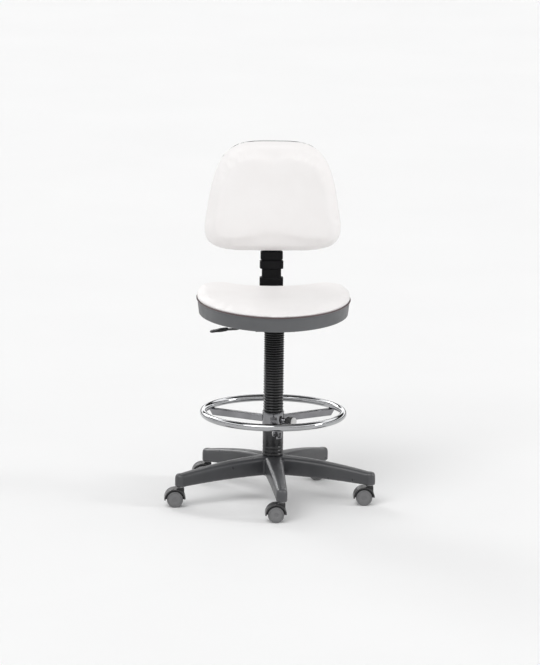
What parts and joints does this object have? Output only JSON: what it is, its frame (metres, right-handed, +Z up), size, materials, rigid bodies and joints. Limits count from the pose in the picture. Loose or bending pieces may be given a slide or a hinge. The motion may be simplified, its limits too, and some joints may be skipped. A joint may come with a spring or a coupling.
{
  "type": "drafting chair",
  "caption": "Tall upholstered work chair: padded seat and backrest on a gas lift with a foot ring round the column and a star base on twin-wheel casters.",
  "frame": {"origin": "on the floor, under the axis of the column", "axes": "+Z up along the column; the chair faces -Y; +X is the sitter's left"},
  "size_m": [0.6461, 0.6293, 1.0745],
  "materials": {
    "upholstery": "white vinyl upholstery, satin",
    "seat_plastic": "grey moulded plastic",
    "black_plastic": "black moulded plastic",
    "base_nylon": "charcoal glass-filled nylon",
    "caster_plastic": "charcoal nylon hood",
    "wheel_plastic": "grey-black nylon wheel",
    "boot_rubber": "black rubber",
    "chrome": "polished chrome plate",
    "black_steel": "black powder coat",
    "bright_steel": "zinc-plated steel",
    "grey_cap": "light grey plastic cap",
    "bush_plastic": "white acetal bush",
    "plywood": "birch plywood"
  },
  "bodies": {
    "base": {"base_star": "base_nylon", "column_tube": "black_steel", "guide_bush": "bush_plastic", "thrust_bearing": "bright_steel", "column_cover": "black_plastic"},
    "caster_1": {"caster_1_stem": "bright_steel", "caster_1_hood": "caster_plastic", "caster_1_axle": "bright_steel"},
    "caster_1_wheel_a": {"caster_1_wheel_a": "wheel_plastic"},
    "caster_1_wheel_b": {"caster_1_wheel_b": "wheel_plastic"},
    "caster_2": {"caster_2_stem": "bright_steel", "caster_2_hood": "caster_plastic", "caster_2_axle": "bright_steel"},
    "caster_2_wheel_a": {"caster_2_wheel_a": "wheel_plastic"},
    "caster_2_wheel_b": {"caster_2_wheel_b": "wheel_plastic"},
    "caster_3": {"caster_3_stem": "bright_steel", "caster_3_hood": "caster_plastic", "caster_3_axle": "bright_steel"},
    "caster_3_wheel_a": {"caster_3_wheel_a": "wheel_plastic"},
    "caster_3_wheel_b": {"caster_3_wheel_b": "wheel_plastic"},
    "caster_4": {"caster_4_stem": "bright_steel", "caster_4_hood": "caster_plastic", "caster_4_axle": "bright_steel"},
    "caster_4_wheel_a": {"caster_4_wheel_a": "wheel_plastic"},
    "caster_4_wheel_b": {"caster_4_wheel_b": "wheel_plastic"},
    "caster_5": {"caster_5_stem": "bright_steel", "caster_5_hood": "caster_plastic", "caster_5_axle": "bright_steel"},
    "caster_5_wheel_a": {"caster_5_wheel_a": "wheel_plastic"},
    "caster_5_wheel_b": {"caster_5_wheel_b": "wheel_plastic"},
    "foot_ring": {"foot_ring_tube": "chrome", "foot_ring_hub": "chrome", "foot_ring_tab": "black_plastic"},
    "foot_ring_clamp": {"foot_ring_knob": "black_plastic", "foot_ring_knob_cap": "grey_cap"},
    "piston": {"piston_rod": "bright_steel", "rod_clip": "bright_steel", "column_bellows": "boot_rubber"},
    "seat": {"gas_cylinder": "black_steel", "mechanism_housing": "black_steel", "taper_socket": "black_steel", "tilt_pin": "bright_steel", "seat_board": "plywood", "seat_screws": "bright_steel", "seat_cushion": "upholstery", "seat_shell": "seat_plastic", "lever_pin": "bright_steel"},
    "lift_lever": {"lift_lever": "black_steel", "lift_paddle": "black_plastic"},
    "release_pin": {"release_pin": "bright_steel"},
    "tilt_lock": {"tilt_lock_lever": "black_steel", "tilt_lock_paddle": "black_plastic"},
    "back_bar": {"tilt_bracket": "black_steel", "back_bar": "black_steel", "bar_boot": "boot_rubber"},
    "backrest": {"backrest_cushion": "upholstery", "backrest_board": "plywood", "backrest_shell": "black_plastic", "backrest_channel": "bright_steel"},
    "backrest_clamp": {"backrest_knob": "black_plastic"}
  },
  "joints": [
    {"name": "caster_1_swivel", "type": "hinge", "parent": "base", "child": "caster_1", "pos_m": [0.01596, -0.30458, 0.08], "axis": [0, 0, 1], "continuous": true},
    {"name": "caster_1_roll_a", "type": "hinge", "parent": "caster_1", "child": "caster_1_wheel_a", "pos_m": [-0.00104, -0.30458, 0.025], "axis": [0, 1, 0], "continuous": true},
    {"name": "caster_1_roll_b", "type": "hinge", "parent": "caster_1", "child": "caster_1_wheel_b", "pos_m": [-0.00104, -0.30458, 0.025], "axis": [0, 1, 0], "continuous": true},
    {"name": "caster_2_swivel", "type": "hinge", "parent": "base", "child": "caster_2", "pos_m": [0.29461, -0.07894, 0.08], "axis": [0, 0, 1], "continuous": true},
    {"name": "caster_2_roll_a", "type": "hinge", "parent": "caster_2", "child": "caster_2_wheel_a", "pos_m": [0.27761, -0.07894, 0.025], "axis": [0, 1, 0], "continuous": true},
    {"name": "caster_2_roll_b", "type": "hinge", "parent": "caster_2", "child": "caster_2_wheel_b", "pos_m": [0.27761, -0.07894, 0.025], "axis": [0, 1, 0], "continuous": true},
    {"name": "caster_3_swivel", "type": "hinge", "parent": "base", "child": "caster_3", "pos_m": [0.16612, 0.25579, 0.08], "axis": [0, 0, 1], "continuous": true},
    {"name": "caster_3_roll_a", "type": "hinge", "parent": "caster_3", "child": "caster_3_wheel_a", "pos_m": [0.14911, 0.25579, 0.025], "axis": [0, 1, 0], "continuous": true},
    {"name": "caster_3_roll_b", "type": "hinge", "parent": "caster_3", "child": "caster_3_wheel_b", "pos_m": [0.14911, 0.25579, 0.025], "axis": [0, 1, 0], "continuous": true},
    {"name": "caster_4_swivel", "type": "hinge", "parent": "base", "child": "caster_4", "pos_m": [-0.19194, 0.23703, 0.08], "axis": [0, 0, 1], "continuous": true},
    {"name": "caster_4_roll_a", "type": "hinge", "parent": "caster_4", "child": "caster_4_wheel_a", "pos_m": [-0.20894, 0.23703, 0.025], "axis": [0, 1, 0], "continuous": true},
    {"name": "caster_4_roll_b", "type": "hinge", "parent": "caster_4", "child": "caster_4_wheel_b", "pos_m": [-0.20894, 0.23703, 0.025], "axis": [0, 1, 0], "continuous": true},
    {"name": "caster_5_swivel", "type": "hinge", "parent": "base", "child": "caster_5", "pos_m": [-0.28474, -0.1093, 0.08], "axis": [0, 0, 1], "continuous": true},
    {"name": "caster_5_roll_a", "type": "hinge", "parent": "caster_5", "child": "caster_5_wheel_a", "pos_m": [-0.30174, -0.1093, 0.025], "axis": [0, 1, 0], "continuous": true},
    {"name": "caster_5_roll_b", "type": "hinge", "parent": "caster_5", "child": "caster_5_wheel_b", "pos_m": [-0.30174, -0.1093, 0.025], "axis": [0, 1, 0], "continuous": true},
    {"name": "foot_ring_height", "type": "slide", "parent": "base", "child": "foot_ring", "axis": [0, 0, 1], "range_m": [-0.045, 0]},
    {"name": "foot_ring_knob_turn", "type": "hinge", "parent": "foot_ring", "child": "foot_ring_clamp", "pos_m": [0.05196, -0.03, 0.248], "axis": [0.866, -0.5, 0], "range_deg": [-180, 180]},
    {"name": "seat_swivel", "type": "hinge", "parent": "base", "child": "piston", "pos_m": [0, 0, 0.09], "axis": [0, 0, 1], "continuous": true},
    {"name": "seat_height", "type": "slide", "parent": "piston", "child": "seat", "axis": [0, 0, 1], "range_m": [-0.05, 0.19], "deforming": ["column_bellows"]},
    {"name": "lift_lever_pull", "type": "hinge", "parent": "seat", "child": "lift_lever", "pos_m": [-0.05, 0, 0.5657], "axis": [0, 1, 0], "range_deg": [0, 6], "stiffness_Nm_per_rad": 3, "springref_deg": -8.59},
    {"name": "release_pin_press", "type": "slide", "parent": "seat", "child": "release_pin", "axis": [0, 0, -1], "range_m": [0, 0.0058]},
    {"name": "tilt_lock_turn", "type": "hinge", "parent": "seat", "child": "tilt_lock", "pos_m": [-0.08, 0.065, 0.544], "axis": [1, 0, 0], "range_deg": [0, 30]},
    {"name": "back_tilt", "type": "hinge", "parent": "seat", "child": "back_bar", "pos_m": [0, 0.095, 0.551], "axis": [-1, 0, 0], "range_deg": [-3, 15]},
    {"name": "backrest_height", "type": "slide", "parent": "back_bar", "child": "backrest", "axis": [0, 0, 1], "range_m": [0, 0.05], "deforming": ["bar_boot"]},
    {"name": "backrest_knob_turn", "type": "hinge", "parent": "backrest", "child": "backrest_clamp", "pos_m": [0, 0.29, 0.796], "axis": [0, 1, 0], "range_deg": [-180, 180]}
  ],
  "couplings": [
    {"joint": "release_pin_press", "follows": "lift_lever_pull", "m_per_rad": 0.0545}
  ]
}
